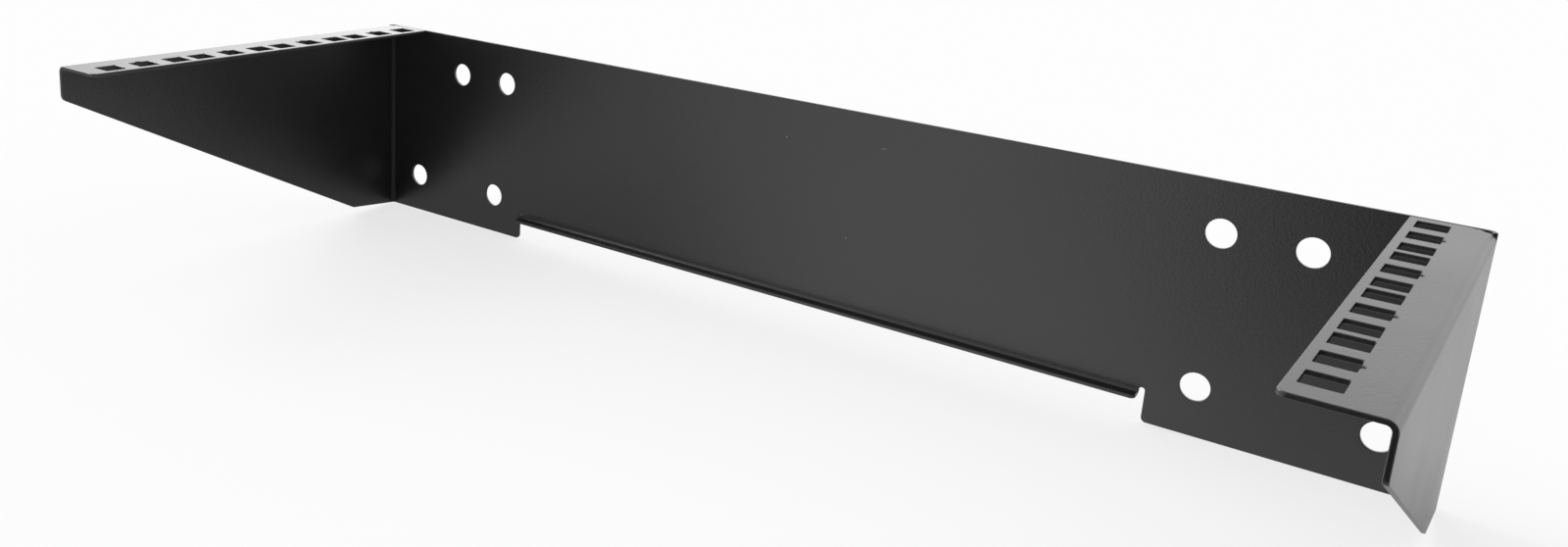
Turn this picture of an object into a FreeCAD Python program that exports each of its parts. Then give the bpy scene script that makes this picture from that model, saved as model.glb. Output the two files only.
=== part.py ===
import FreeCAD, Part
import math
import os
import Sketcher

# Wall bracket for rack equipment, folded from one sheet of steel.
# Frame: origin at the centre of the face that lies on the wall, +X to the right seen from the room,
# +Y into the wall, +Z up. The arms reach into the room along -Y.

# Driving dimensions in millimetres
SIZES = {
    "width": 500.0,            # outside, arm to arm
    "height": 96.5,            # back panel, bottom edge to top edge
    "sheet": 1.5,              # thickness with its coat
    "bend_radius": 1.5,        # inside of every fold
    "rail_width": 25.0,        # arm's outside to the rail's free edge
    "row_spacing": 465.12,     # between the two rows of square holes
    "unit_pitch": 44.45,       # one rack unit
    "unit_count": 4,
    "hole_pitch": 15.875,      # between the three holes of a unit
    "square_hole": 9.525,
    "notch_radius": 1.25,      # half-round mark beside each unit's middle hole
    "front_margin": 13.0,      # rail's front edge to the first hole's centre
    "rear_margin": 9.5,        # last hole's centre to the panel's front face
    "rail_gap": 0.3,           # rail's rear edge to the panel's front face
    "rail_corner": 2.5,        # rail's free front corner
    "nose_height": 14.5,       # arm's front edge, from the rail's top
    "nose_corner": 3.0,
    "foot_length": 28.0,       # arm's lower edge, before it slopes up
    "foot_rise": 2.5,          # by which that edge climbs towards the room
    "foot_corner": 2.0,
    "foot_blend": 20.0,        # soft turn where that edge leaves the panel
    "slit_width": 1.0,         # slit behind each rail's fold, past which the panel's fold runs to the top
    "slit_depth": 3.6,
    "fold_setback": 0.5,       # flat sheet between a fold and a slit or clip beside it
    "clip_reach": 8.0,         # rail's rear corner is clipped, from the arm's outside to here
    "clip_depth": 1.5,         # by which it stands off the panel's front face beside the fold
    "lip_depth": 5.0,          # lip's front edge to the panel's front face
    "lip_height": 9.8,         # lip's underside above the panel's bottom edge
    "lip_corner": 2.0,
    "right_slot": 2.2,         # relief slot at each end of the lip
    "left_slot": 1.0,
    "slot_round": 0.475,       # corners of a slot's end, as a share of its width
    "slot_reach": 0.5,         # slot's end above the start of the lip's fold
    "right_tab": 152.0,        # inner side of the right tab, from the middle
    "left_tab": 158.3,
    "tab_corner": 2.0,
    "wall_hole": 10.8,
    "wall_hole_edge": 19.05,   # hole centres from the panel's top and bottom edges
    "inner_holes": 169.0,      # hole centres from the middle
    "upper_outer": 199.0,
    "lower_outer": 229.0,
    "lower_left": 176.0,       # the one that stands out of line with the hole above
    "punch_corner": 0.4,       # corners across the sheet, as the punch leaves them
    "edge_round": 0.35,        # coated edges all round
}
SQUARE_MIDDLE = 1              # index of a unit's notched hole
HOLES_PER_UNIT = 3
SHARP = math.radians(20)       # faces that meet at more than this make an edge to round
NEAR = 0.001

doc = FreeCAD.newDocument("wall_bracket")
dims = doc.addObject("Spreadsheet::Sheet", "dims")
for row, (alias, size) in enumerate(SIZES.items(), start=1):
    dims.set(f"A{row}", alias)
    dims.set(f"B{row}", str(size))
    dims.setAlias(f"B{row}", alias)
doc.recompute()

# Places worked out from the driving dimensions
SIDE = "(dims.width / 2)"
TOP = "(dims.height / 2)"
BOTTOM = "(-dims.height / 2)"
ARM_INSIDE = f"({SIDE} - dims.sheet)"
RAIL_INSIDE = f"({SIDE} - dims.rail_width)"
PANEL_FRONT = "(-dims.sheet)"
HOLE_SPAN = "(dims.unit_pitch * (dims.unit_count - 1) + 2 * dims.hole_pitch)"
FRONT = f"({PANEL_FRONT} - dims.rear_margin - {HOLE_SPAN} - dims.front_margin)"
FIRST_HOLE = f"({FRONT} + dims.front_margin)"
OUTER_RADIUS = "(dims.bend_radius + dims.sheet)"
FOOT_FRONT = f"({PANEL_FRONT} - dims.foot_length)"
FOOT_LOW = f"({BOTTOM} + dims.foot_rise)"
NOSE_LOW = f"({TOP} - dims.nose_height)"
LIP_UNDER = f"({BOTTOM} + dims.lip_height)"
LIP_TOP = f"({LIP_UNDER} + dims.sheet)"
LIP_FRONT = f"({PANEL_FRONT} - dims.lip_depth)"
LIP_RIGHT = "(dims.right_tab - dims.right_slot)"
LIP_LEFT = "(-dims.left_tab + dims.left_slot)"
SLOT_TOP = f"({LIP_TOP} + dims.bend_radius + dims.slot_reach)"
RAIL_UNDER = f"({TOP} - dims.sheet)"
RAIL_REAR = f"({PANEL_FRONT} - dims.rail_gap)"
SLIT_REAR = f"(-{OUTER_RADIUS} - dims.fold_setback)"
SLIT_FRONT = f"({SLIT_REAR} - dims.slit_width)"
CLIP_OUTSIDE = f"({SIDE} - {OUTER_RADIUS} - dims.fold_setback)"
CLIP_INSIDE = f"({SIDE} - dims.clip_reach)"
CLIP_REAR = f"({PANEL_FRONT} - dims.clip_depth)"
SHEET_FACES = (("x", ARM_INSIDE, SIDE), ("y", PANEL_FRONT, "0"), ("z", RAIL_UNDER, TOP))


def value(expression):
    return float(dims.evalExpression(expression))


# Sketches: every point is held from the sketch's origin by two expressions;
# a corner given with a third one is rounded by it

def plane_sketch(name, plane, offset="0"):
    sketch = body.newObject("Sketcher::SketchObject", name)
    support = next(feature for feature in body.Origin.OriginFeatures if feature.Role == plane)
    sketch.AttachmentSupport = (support, [""])
    sketch.MapMode = "FlatFace"
    sketch.setExpression("AttachmentOffset.Base.z", offset)
    return sketch


def hold(sketch, geometry, vertex, x, y):
    for kind, axis, expression in (("DistanceX", -2, x), ("DistanceY", -1, y)):
        size = value(expression)
        if abs(size) < NEAR:
            sketch.addConstraint(Sketcher.Constraint("PointOnObject", geometry, vertex, axis))
            continue
        pair = (-1, 1, geometry, vertex) if size > 0 else (geometry, vertex, -1, 1)
        index = sketch.addConstraint(Sketcher.Constraint(kind, *pair, abs(size)))
        sketch.setExpression(f"Constraints[{index}]", expression if size > 0 else f"-({expression})")


def hold_radius(sketch, geometry, radius):
    index = sketch.addConstraint(Sketcher.Constraint("Radius", geometry, value(radius)))
    sketch.setExpression(f"Constraints[{index}]", radius)


def outline(sketch, corners):
    points = [FreeCAD.Vector(value(x), value(y), 0) for x, y, *_ in corners]
    first = sketch.GeometryCount
    count = len(points)
    for i in range(count):
        sketch.addGeometry(Part.LineSegment(points[i], points[(i + 1) % count]))
    for i in range(count):
        sketch.addConstraint(Sketcher.Constraint("Coincident", first + i, 2, first + (i + 1) % count, 1))
    for i, (x, y, *radius) in enumerate(corners):
        if not radius:
            hold(sketch, first + i, 1, x, y)
    for i, (x, y, *radius) in enumerate(corners):
        if radius:
            arc = sketch.GeometryCount
            kept_corner = arc + 1
            sketch.fillet(first + i, 1, value(radius[0]), True, True)
            hold_radius(sketch, arc, radius[0])
            hold(sketch, kept_corner, 1, x, y)


def rectangle(sketch, x0, y0, x1, y1):
    outline(sketch, [(x0, y0), (x1, y0), (x1, y1), (x0, y1)])


def circle(sketch, x, y, radius):
    centre = FreeCAD.Vector(value(x), value(y), 0)
    index = sketch.addGeometry(Part.Circle(centre, FreeCAD.Vector(0, 0, 1), value(radius)))
    hold(sketch, index, 3, x, y)
    hold_radius(sketch, index, radius)


def mirrored(sign, expression):
    return expression if sign > 0 else f"(-{expression})"


# Features

def finish(feature, base, grows):
    before = base.Shape.Volume if base else 0
    body.Tip = feature
    doc.recompute()
    change = feature.Shape.Volume - before
    if abs(change) < NEAR or (change > 0) != grows:
        raise RuntimeError(f"{feature.Label} changed the volume by {change:.3f} mm3")
    return feature


def pad(name, sketch, length, side="One side"):
    base = body.Tip
    feature = body.newObject("PartDesign::Pad", name)
    feature.Profile = sketch
    feature.SideType = side
    feature.setExpression("Length", length)
    return finish(feature, base, grows=True)


def pocket(name, sketch, length=None):
    base = body.Tip
    feature = body.newObject("PartDesign::Pocket", name)
    feature.Profile = sketch
    if length:
        feature.setExpression("Length", length)
    else:
        feature.Type = "ThroughAll"
        feature.SideType = "Symmetric"
    return finish(feature, base, grows=False)


def fillet(name, radius, wanted, grows):
    base = body.Tip
    edges = [f"Edge{i}" for i, edge in enumerate(base.Shape.Edges, start=1) if wanted(edge)]
    feature = body.newObject("PartDesign::Fillet", name)
    feature.Base = (base, edges)
    feature.setExpression("Radius", radius)
    print(name, len(edges), "edges")
    return finish(feature, base, grows)


# Edge picks: x is compared without its sign, so one pick takes both arms

def ends(edge):
    return [{"x": abs(v.X), "y": v.Y, "z": v.Z} for v in edge.Vertexes]


def along(**place):
    sizes = {axis: value(expression) for axis, expression in place.items()}

    def wanted(edge):
        return all(abs(end[axis] - size) < NEAR for end in ends(edge) for axis, size in sizes.items())
    return wanted


def reaching(pick, axis, place):
    return lambda edge: pick(edge) and any(abs(end[axis] - value(place)) < NEAR for end in ends(edge))


def any_of(*picks):
    return lambda edge: any(pick(edge) for pick in picks)


def is_sharp(edge):
    middle = edge.valueAt((edge.FirstParameter + edge.LastParameter) / 2)
    faces = body.Tip.Shape.ancestorsOfType(edge, Part.Face)
    normals = [face.normalAt(*face.Surface.parameter(middle)) for face in faces]
    return len(normals) == 2 and normals[0].getAngle(normals[1]) > SHARP


def crosses_sheet(edge):
    for axis, low, high in SHEET_FACES:
        span = sorted(end[axis] for end in ends(edge))
        if abs(span[0] - value(low)) < NEAR and abs(span[-1] - value(high)) < NEAR:
            return is_sharp(edge)
    return False


body = doc.addObject("PartDesign::Body", "wall_bracket")
body.Label = "wall_bracket"
doc.recompute()

# Side view: a foot that climbs a little, a long slope and a short nose
side_view = plane_sketch("side_view", "YZ_Plane")
outline(side_view, [
    ("0", BOTTOM),
    ("0", TOP),
    (FRONT, TOP),
    (FRONT, NOSE_LOW, "dims.nose_corner"),
    (FOOT_FRONT, FOOT_LOW, "dims.foot_corner"),
    (f"-{OUTER_RADIUS}", BOTTOM, "dims.foot_blend"),
])
pad("block", side_view, "dims.width", side="Symmetric")

# Back panel and arms: what stays of that block round the space for the equipment
inside = plane_sketch("inside", "XY_Plane")
rectangle(inside, mirrored(-1, ARM_INSIDE), FRONT, ARM_INSIDE, PANEL_FRONT)
pocket("channel", inside)

# Rails: the top of each arm turned inwards, a hair short of the panel and clipped beside its fold
rail_plan = plane_sketch("rail_plan", "XY_Plane", RAIL_UNDER)
for sign in (-1, 1):
    outline(rail_plan, [
        (mirrored(sign, RAIL_INSIDE), FRONT),
        (mirrored(sign, SIDE), FRONT),
        (mirrored(sign, SIDE), SLIT_FRONT),
        (mirrored(sign, CLIP_OUTSIDE), SLIT_FRONT),
        (mirrored(sign, CLIP_OUTSIDE), CLIP_REAR),
        (mirrored(sign, CLIP_INSIDE), RAIL_REAR),
        (mirrored(sign, RAIL_INSIDE), RAIL_REAR),
    ])
pad("rails", rail_plan, "dims.sheet")
fillet("rail_corners", "dims.rail_corner", along(x=RAIL_INSIDE, y=FRONT), grows=False)

# Slits between the rails' folds and the panel's, which run up to the top edge
slits = plane_sketch("slits", "XY_Plane", TOP)
for sign in (-1, 1):
    rectangle(slits, mirrored(sign, ARM_INSIDE), SLIT_FRONT, mirrored(sign, SIDE), SLIT_REAR)
pocket("fold_slits", slits, "dims.slit_depth")

# Lip: the panel's lower edge between two slots, turned towards the room
lip_cut = plane_sketch("lip_cut", "XZ_Plane")
outline(lip_cut, [
    ("-dims.left_tab", BOTTOM),
    ("-dims.left_tab", SLOT_TOP),
    (LIP_LEFT, SLOT_TOP),
    (LIP_LEFT, LIP_UNDER),
    (LIP_RIGHT, LIP_UNDER),
    (LIP_RIGHT, SLOT_TOP),
    ("dims.right_tab", SLOT_TOP),
    ("dims.right_tab", BOTTOM),
])
pocket("lip_opening", lip_cut)
for side, lip_end in (("left", f"-{LIP_LEFT}"), ("right", LIP_RIGHT)):
    fillet(f"{side}_slot_end", f"dims.slot_round * dims.{side}_slot", any_of(
        along(x=f"dims.{side}_tab", z=SLOT_TOP),
        along(x=lip_end, z=SLOT_TOP)), grows=True)
fillet("tab_corners", "dims.tab_corner", any_of(
    along(x="dims.left_tab", z=BOTTOM),
    along(x="dims.right_tab", z=BOTTOM)), grows=False)
lip_plan = plane_sketch("lip_plan", "XY_Plane", LIP_UNDER)
rectangle(lip_plan, LIP_LEFT, LIP_FRONT, LIP_RIGHT, "0")
pad("lip", lip_plan, "dims.sheet")
fillet("lip_corners", "dims.lip_corner", any_of(
    along(x=f"-{LIP_LEFT}", y=LIP_FRONT),
    along(x=LIP_RIGHT, y=LIP_FRONT)), grows=False)

# Folds: inside radius, and the same plus the sheet outside
fillet("inside_folds", "dims.bend_radius", any_of(
    reaching(along(x=ARM_INSIDE, y=PANEL_FRONT), "z", BOTTOM),
    along(x=ARM_INSIDE, z=RAIL_UNDER),
    along(y=PANEL_FRONT, z=LIP_TOP)), grows=True)
fillet("outside_folds", OUTER_RADIUS, any_of(
    reaching(along(x=SIDE, y="0"), "z", BOTTOM),
    reaching(along(x=SIDE, z=TOP), "y", FRONT),
    along(y="0", z=LIP_UNDER)), grows=False)

# Square holes: one unit on the right rail, repeated along it and mirrored to the left
row_x = "(dims.row_spacing / 2)"
half_hole = "(dims.square_hole / 2)"
unit_holes = plane_sketch("unit_holes", "XY_Plane")
for i in range(HOLES_PER_UNIT):
    hole_y = f"({FIRST_HOLE} + {i} * dims.hole_pitch)"
    rectangle(unit_holes, f"{row_x} - {half_hole}", f"{hole_y} - {half_hole}",
              f"{row_x} + {half_hole}", f"{hole_y} + {half_hole}")
unit_notch = plane_sketch("unit_notch", "XY_Plane")
circle(unit_notch, f"{row_x} + {half_hole}", f"{FIRST_HOLE} + {SQUARE_MIDDLE} * dims.hole_pitch",
       "dims.notch_radius")
first_unit = [pocket("unit_hole_cut", unit_holes), pocket("unit_notch_cut", unit_notch)]
rows = body.newObject("PartDesign::MultiTransform", "square_hole_rows")
rows.Originals = first_unit
along_rail = doc.addObject("PartDesign::LinearPattern", "along_rail")
body.addObject(along_rail)
along_rail.Direction = (unit_holes, ["V_Axis"])
along_rail.setExpression("Length", "dims.unit_pitch * (dims.unit_count - 1)")
along_rail.setExpression("Occurrences", "dims.unit_count")
across = doc.addObject("PartDesign::Mirrored", "across")
body.addObject(across)
across.MirrorPlane = (unit_holes, ["V_Axis"])
rows.Transformations = [along_rail, across]
finish(rows, first_unit[-1], grows=False)

# Wall holes: four at each end of the panel
upper_z = f"({TOP} - dims.wall_hole_edge)"
lower_z = f"({BOTTOM} + dims.wall_hole_edge)"
wall_holes = plane_sketch("wall_holes", "XZ_Plane")
for x, z in (
    ("-dims.upper_outer", upper_z),
    ("-dims.inner_holes", upper_z),
    ("dims.inner_holes", upper_z),
    ("dims.upper_outer", upper_z),
    ("-dims.lower_outer", lower_z),
    ("-dims.lower_left", lower_z),
    ("dims.inner_holes", lower_z),
    ("dims.lower_outer", lower_z),
):
    circle(wall_holes, x, z, "dims.wall_hole / 2")
pocket("wall_hole_cut", wall_holes)

# Corners across the sheet, then every edge that is still sharp
fillet("punch_corners", "dims.punch_corner", crosses_sheet, grows=True)
fillet("coated_edges", "dims.edge_round", is_sharp, grows=False)

for thing in doc.Objects:
    if "Invalid" in thing.State or "Error" in thing.State:
        raise RuntimeError(f"{thing.Label} failed: {thing.State}")
shape = body.Shape
if shape.isNull() or not shape.isValid() or len(shape.Solids) != 1:
    raise RuntimeError("wall_bracket is not one valid solid")

os.makedirs("parts", exist_ok=True)
shape.exportStep(f"parts/{body.Label}.step")
box = shape.optimalBoundingBox()
print(f"wall_bracket {box.XLength:.2f} x {box.YLength:.2f} x {box.ZLength:.2f} mm, {shape.Volume:.0f} mm3")
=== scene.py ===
import bpy
from mathutils import Matrix, Vector


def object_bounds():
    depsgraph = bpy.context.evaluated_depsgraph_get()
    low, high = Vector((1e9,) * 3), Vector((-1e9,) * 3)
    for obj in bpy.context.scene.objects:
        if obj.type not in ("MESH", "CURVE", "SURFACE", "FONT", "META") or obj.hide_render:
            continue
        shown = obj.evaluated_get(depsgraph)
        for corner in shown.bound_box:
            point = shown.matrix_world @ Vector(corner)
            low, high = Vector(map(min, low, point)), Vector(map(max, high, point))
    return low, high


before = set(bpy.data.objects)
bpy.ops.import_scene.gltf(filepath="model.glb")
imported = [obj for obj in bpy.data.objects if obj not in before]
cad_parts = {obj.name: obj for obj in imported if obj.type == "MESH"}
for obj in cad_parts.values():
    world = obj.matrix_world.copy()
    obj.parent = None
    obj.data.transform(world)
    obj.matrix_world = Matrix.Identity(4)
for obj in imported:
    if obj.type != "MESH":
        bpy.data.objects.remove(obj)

scene = bpy.context.scene
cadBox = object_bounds()
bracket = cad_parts["wall_bracket"]
print("frame loaded")


# Node helpers: an input is linked if its value is a socket, and set otherwise
def addNode(tree, kind, values=None, **properties):
    node = tree.nodes.new(kind)
    for name, value in properties.items():
        setattr(node, name, value)
    for name, value in (values or {}).items():
        socket = node.inputs[name]
        if isinstance(value, bpy.types.NodeSocket):
            tree.links.new(value, socket)
        else:
            socket.default_value = value
    return node


def scalarMath(tree, operation, *values):
    return addNode(tree, "ShaderNodeMath", dict(enumerate(values)), operation=operation).outputs[0]


def vectorMath(tree, operation, *values):
    node = addNode(tree, "ShaderNodeVectorMath", dict(enumerate(values)), operation=operation)
    isNumber = operation in ("DOT_PRODUCT", "DISTANCE", "LENGTH")
    return node.outputs["Value" if isNumber else "Vector"]


def mixColor(tree, share, first, second):
    node = addNode(tree, "ShaderNodeMix", {"Factor": share, "A": first, "B": second}, data_type="RGBA")
    return node.outputs["Result"]


def noise(tree, place, size, detail, roughness=0.5):
    node = addNode(tree, "ShaderNodeTexNoise", {
        "Vector": place, "Scale": 1 / size, "Detail": detail, "Roughness": roughness})
    return node.outputs["Fac"]


def spread(tree, value, low, high, outLow, outHigh):
    node = addNode(tree, "ShaderNodeMapRange", {
        "Value": value, "From Min": low, "From Max": high, "To Min": outLow, "To Max": outHigh})
    return node.outputs["Result"]


def newMaterial(name):
    material = bpy.data.materials.new(name)
    material.use_nodes = True
    material.node_tree.nodes.clear()
    return material


# Powder coat: nearly black, with a fine grain, a soft orange peel, slightly uneven gloss and a little dust
coat = {
    "deepColor": (0.0042, 0.0042, 0.0045, 1),
    "paleColor": (0.0068, 0.0068, 0.0072, 1),
    "ior": 1.75,
    "cloudSize": 0.06,
    "cloudDetail": 2,
    "cloudRange": (0.35, 0.65),       # part of the cloud noise that the gloss follows
    "smoothRoughness": 0.315,
    "dullRoughness": 0.345,
    "peelSize": 0.0022,
    "peelDetail": 1,
    "peelDepth": 0.000006,
    "grainSize": 0.0009,
    "grainDetail": 2,
    "grainRoughness": 0.6,
    "grainDepth": 0.00008,
    "foldPlan": (1, 1, 0),            # an upright fold is the same at every height
    "foldCentre": (0.247, 0.003, 0),  # axis of the upright inside folds, where the coat is thin and dull
    "foldReach": (0.00151, 0.00162),
    "foldRoughness": 0.8,
    "dustColor": (0.12, 0.12, 0.118, 1),
    "dust": [                         # x, z and half sizes on the panel's front, in metres
        (0.0236, -0.0060, 0.0006, 0.0006),
        (-0.0086, 0.0318, 0.0006, 0.0006),
        (0.0369, 0.0351, 0.0014, 0.0003),
    ],
    "dustEdge": (0.4, 1.0),           # a mark fades between these shares of its half size
    "dustReach": 0.02,                # how far behind the panel's plane the marks still count
    "faceWeight": 100,                # how firmly the flat faces set the shading at their edges
}


def dustMark(tree, place, mark, s):
    x, z, halfWidth, halfHeight = mark
    away = vectorMath(tree, "SUBTRACT", place, (x, 0, z))
    away = vectorMath(tree, "MULTIPLY", away, (1 / halfWidth, 1 / s["dustReach"], 1 / halfHeight))
    return spread(tree, vectorMath(tree, "LENGTH", away), *s["dustEdge"], 1.0, 0.0)


def foldMark(tree, place, s):
    across = vectorMath(tree, "MULTIPLY", place, s["foldPlan"])
    across = vectorMath(tree, "ABSOLUTE", across)
    away = vectorMath(tree, "DISTANCE", across, s["foldCentre"])
    return spread(tree, away, *s["foldReach"], 1.0, 0.0)


def makeCoat(s):
    material = newMaterial("powderCoat")
    tree = material.node_tree
    place = addNode(tree, "ShaderNodeTexCoord").outputs["Object"]
    cloud = noise(tree, place, s["cloudSize"], s["cloudDetail"])
    peel = noise(tree, place, s["peelSize"], s["peelDetail"])
    grain = noise(tree, place, s["grainSize"], s["grainDetail"], s["grainRoughness"])
    color = mixColor(tree, cloud, s["deepColor"], s["paleColor"])
    for mark in s["dust"]:
        color = mixColor(tree, dustMark(tree, place, mark, s), color, s["dustColor"])
    gloss = spread(tree, cloud, *s["cloudRange"], s["smoothRoughness"], s["dullRoughness"])
    roughness = addNode(tree, "ShaderNodeMix", {
        "Factor": foldMark(tree, place, s), "A": gloss, "B": s["foldRoughness"]}).outputs["Result"]
    peelBump = addNode(tree, "ShaderNodeBump", {
        "Height": peel, "Distance": s["peelDepth"], "Strength": 1.0})
    grainBump = addNode(tree, "ShaderNodeBump", {
        "Height": grain, "Distance": s["grainDepth"], "Strength": 1.0, "Normal": peelBump.outputs["Normal"]})
    shader = addNode(tree, "ShaderNodeBsdfPrincipled", {
        "Base Color": color, "Roughness": roughness, "IOR": s["ior"], "Normal": grainBump.outputs["Normal"]})
    addNode(tree, "ShaderNodeOutputMaterial", {"Surface": shader.outputs["BSDF"]})
    return material


bracket.data.materials[0] = makeCoat(coat)
flatFaces = bracket.modifiers.new("flatFaces", "WEIGHTED_NORMAL")
flatFaces.mode = "FACE_AREA"
flatFaces.weight = coat["faceWeight"]
flatFaces.keep_sharp = True
print("coat made")

# Floor: a plain pale sheet just under the tabs, seen mostly white with a faint shadow.
# In reflections only, it carries painted shade: dark round the lane in which the camera stands,
# dimmer on the left and nearly dark behind the panel's left end
floor = {
    "size": 12.0,
    "gap": 0.0005,
    "color": (0.86, 0.86, 0.86, 1),
    "whiteColor": (0.98, 0.98, 0.98, 1),
    # colour of the painted shade that only reflections show
    "paintedShadeColor": (0.03, 0.03, 0.03, 1),
    "white": 0.75,                  # share of plain white seen directly
    "mirrorWhite": 0.7,             # and in reflections
    "laneEnd": (0.274, -0.495, 0),  # the spot below the photo's camera, a fixed place
    "laneLine": (-12.0, 0.0, 0.0),  # what lies further to the front counts as on this line
    "laneShape": (1.6, 0.78, 0),    # narrower from side to side than from front to back
    "laneFade": (0.15, 0.43),       # dark up to the first distance, pale from the second
    "sideStart": (-0.04, 0, 0),     # dimmer to the left of a line through here
    "sideNormal": (-0.82, 0.57, 0),
    "sideFade": (-0.05, 0.03),
    "sideRear": (12.0, 0.0, 0.0),   # what lies further back counts as on this line
    "sideDim": 0.43,
    "backward": (0, 1, 0),
    "rearFade": (0.0, 0.02),        # behind the panel's left end it is nearly dark
    "rearSide": (0.03, 0.09),
    "rearDim": 0.95,
}


# Painted shade seen only in reflections: dark round the camera's lane, dimmer on the left, nearly dark
# behind the panel's left end
def paintedReflectionShade(tree, place, s):
    away = vectorMath(tree, "SUBTRACT", place, s["laneEnd"])
    away = vectorMath(tree, "MAXIMUM", away, s["laneLine"])
    away = vectorMath(tree, "MULTIPLY", away, s["laneShape"])
    lane = spread(tree, vectorMath(tree, "LENGTH", away), *s["laneFade"], 1, 0)
    beside = vectorMath(tree, "MINIMUM", place, s["sideRear"])
    beside = vectorMath(tree, "SUBTRACT", beside, s["sideStart"])
    beside = vectorMath(tree, "DOT_PRODUCT", beside, s["sideNormal"])
    side = spread(tree, beside, *s["sideFade"], 0, s["sideDim"])
    behind = vectorMath(tree, "DOT_PRODUCT", place, s["backward"])
    behind = spread(tree, behind, *s["rearFade"], 0, s["rearDim"])
    corner = spread(tree, beside, *s["rearSide"], 0, 1)
    rear = scalarMath(tree, "MULTIPLY", behind, corner)
    return scalarMath(tree, "MAXIMUM", scalarMath(tree, "MAXIMUM", lane, side), rear)


def floorMaterial(s):
    material = newMaterial("floor")
    tree = material.node_tree
    place = addNode(tree, "ShaderNodeTexCoord").outputs["Object"]
    ray = addNode(tree, "ShaderNodeLightPath").outputs
    # the painted shade counts for reflected rays only; seen directly the floor stays pale
    reflectedShade = scalarMath(tree, "MULTIPLY", paintedReflectionShade(tree, place, s), ray["Is Glossy Ray"])
    sheet = mixColor(tree, reflectedShade, s["color"], s["paintedShadeColor"])
    white = mixColor(tree, reflectedShade, s["whiteColor"], s["paintedShadeColor"])
    direct = scalarMath(tree, "MAXIMUM", ray["Is Camera Ray"], ray["Is Transmission Ray"])
    direct = scalarMath(tree, "MULTIPLY", direct, s["white"])
    share = scalarMath(tree, "MULTIPLY_ADD", ray["Is Glossy Ray"], s["mirrorWhite"], direct)
    matte = addNode(tree, "ShaderNodeBsdfDiffuse", {"Color": sheet}).outputs["BSDF"]
    glow = addNode(tree, "ShaderNodeEmission", {"Color": white, "Strength": 1.0}).outputs["Emission"]
    mixed = addNode(tree, "ShaderNodeMixShader", {0: share, 1: matte, 2: glow}).outputs["Shader"]
    addNode(tree, "ShaderNodeOutputMaterial", {"Surface": mixed})
    return material


def makeFloor(s):
    half = s["size"] / 2
    height = cadBox[0].z - s["gap"]
    corners = [(-half, -half, height), (half, -half, height), (half, half, height), (-half, half, height)]
    mesh = bpy.data.meshes.new("floor")
    mesh.from_pydata(corners, [], [(0, 1, 2, 3)])
    mesh.materials.append(floorMaterial(s))
    thing = bpy.data.objects.new("floor", mesh)
    scene.collection.objects.link(thing)


makeFloor(floor)
print("floor made")

# Light: a white surround, brightest at the back and from a soft box on the left, dark behind the camera
surround = {
    "color": (1, 1, 1, 1),
    "strength": 0.62,
    "patches": [
        {"toward": (0.1, 0.97, 0.2), "from": 0.2, "to": 0.7, "adds": 0.75},     # backdrop
        {"toward": (-0.69, 0.71, 0.15), "from": 0.93, "to": 1.0, "adds": 2.2},  # its bright left end
        {"toward": (-0.87, 0.0, 0.5), "from": 0.93, "to": 0.98, "adds": 8.0},   # soft box
        {"toward": (0.42, -0.9, 0.1), "from": 0.6, "to": 0.9, "adds": -0.55},   # dark room
    ],
}


def makeSurround(s):
    world = bpy.data.worlds.new("surround")
    world.use_nodes = True
    tree = world.node_tree
    background = tree.nodes["Background"]
    way = addNode(tree, "ShaderNodeTexCoord").outputs["Generated"]
    strength = s["strength"]
    for patch in s["patches"]:
        facing = vectorMath(tree, "DOT_PRODUCT", way, Vector(patch["toward"]).normalized())
        change = spread(tree, facing, patch["from"], patch["to"], 0, patch["adds"])
        strength = scalarMath(tree, "ADD", strength, change)
    tree.links.new(strength, background.inputs["Strength"])
    background.inputs["Color"].default_value = s["color"]
    scene.world = world


makeSurround(surround)
print("light made")

# Camera: the photo's, in the part's frame
view = {
    "place": (0.27404, -0.4952, 0.16275),
    "ahead": (-0.5691, 0.77886, -0.26364),
    "right": (0.79828, 0.60021, 0.04996),
    "focus": 1390.1,           # in pixels of the photo
    "centre": (649.1, 186.2),  # where the lens axis meets the photo
    "photo": (1600, 558),
    "nearest": 0.01,
}


def makeCamera(s):
    data = bpy.data.cameras.new("camera")
    width, height = s["photo"]
    data.sensor_fit = "HORIZONTAL"
    data.lens = s["focus"] / width * data.sensor_width
    data.shift_x = (width / 2 - s["centre"][0]) / width
    data.shift_y = (s["centre"][1] - height / 2) / width
    data.clip_start = s["nearest"]
    camera = bpy.data.objects.new("camera", data)
    scene.collection.objects.link(camera)
    ahead = Vector(s["ahead"]).normalized()
    up = Vector(s["right"]).cross(ahead).normalized()
    right = ahead.cross(up)
    turn = Matrix((right, up, -ahead)).transposed()
    camera.matrix_world = Matrix.Translation(s["place"]) @ turn.to_4x4()
    scene.camera = camera


makeCamera(view)
scene.view_settings.view_transform = "Standard"
print("camera made")
